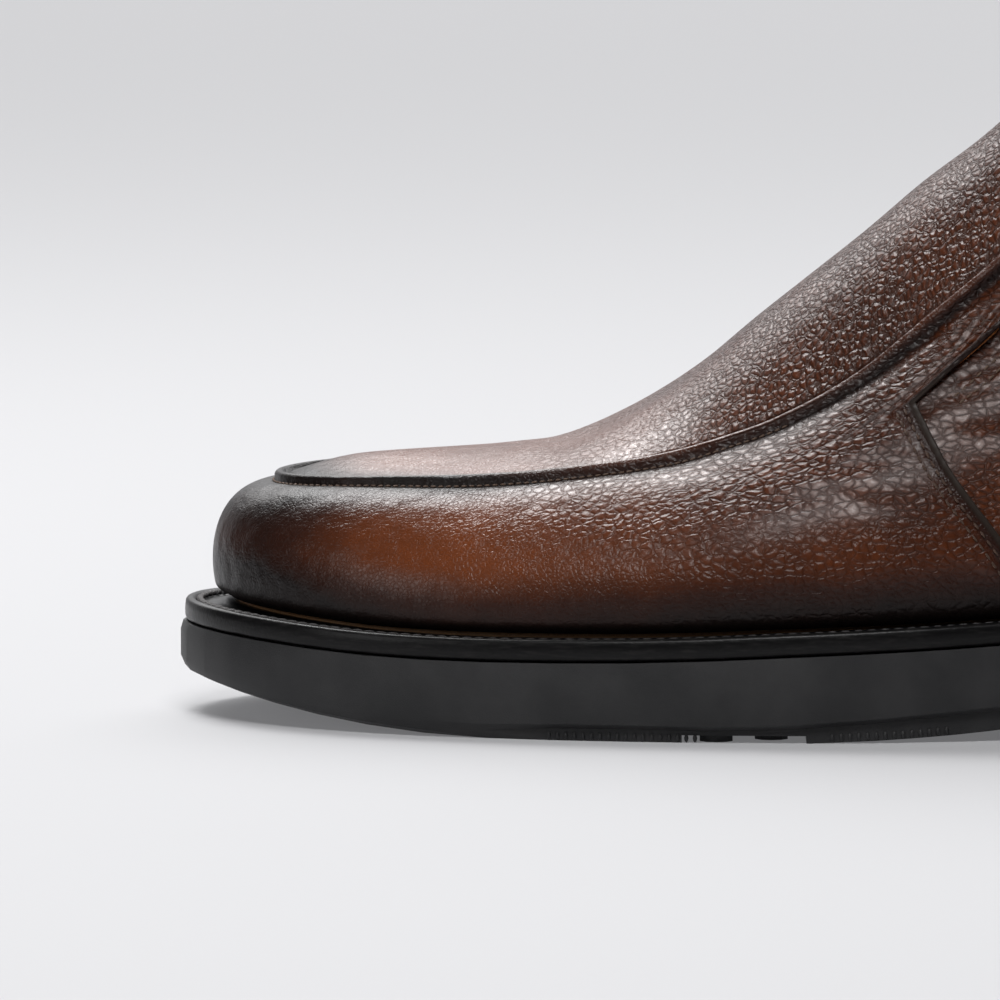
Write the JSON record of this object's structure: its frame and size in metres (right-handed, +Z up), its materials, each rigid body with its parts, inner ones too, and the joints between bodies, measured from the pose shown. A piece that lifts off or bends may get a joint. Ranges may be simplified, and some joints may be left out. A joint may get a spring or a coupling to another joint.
{
  "type": "leather slip-on shoe",
  "caption": "Brown grained leather slip-on shoe with a raised apron seam, hidden elastic at the throat, a stitched black welt and a black rubber sole.",
  "frame": {"origin": "on the floor under the middle of the outsole's box", "axes": "-X is the toe, +X the heel, -Y the outer side of the foot, +Z up"},
  "size_m": [0.3, 0.1076, 0.1137],
  "materials": {
    "rubber": "black moulded rubber, matt, with light scuffs",
    "welt": "black waxed welt strip, glossy, with a twisted stitch row",
    "leather": "pebble-grained brown leather with a dark burnished patina and a soft polish",
    "sock": "smooth tan lining leather",
    "elastic": "dark brown ribbed elastic"
  },
  "bodies": {
    "root": {"outsole": "rubber", "welt": "welt", "upper": "leather", "insole": "sock", "elastic_outer": "elastic", "elastic_inner": "elastic"}
  },
  "joints": []
}
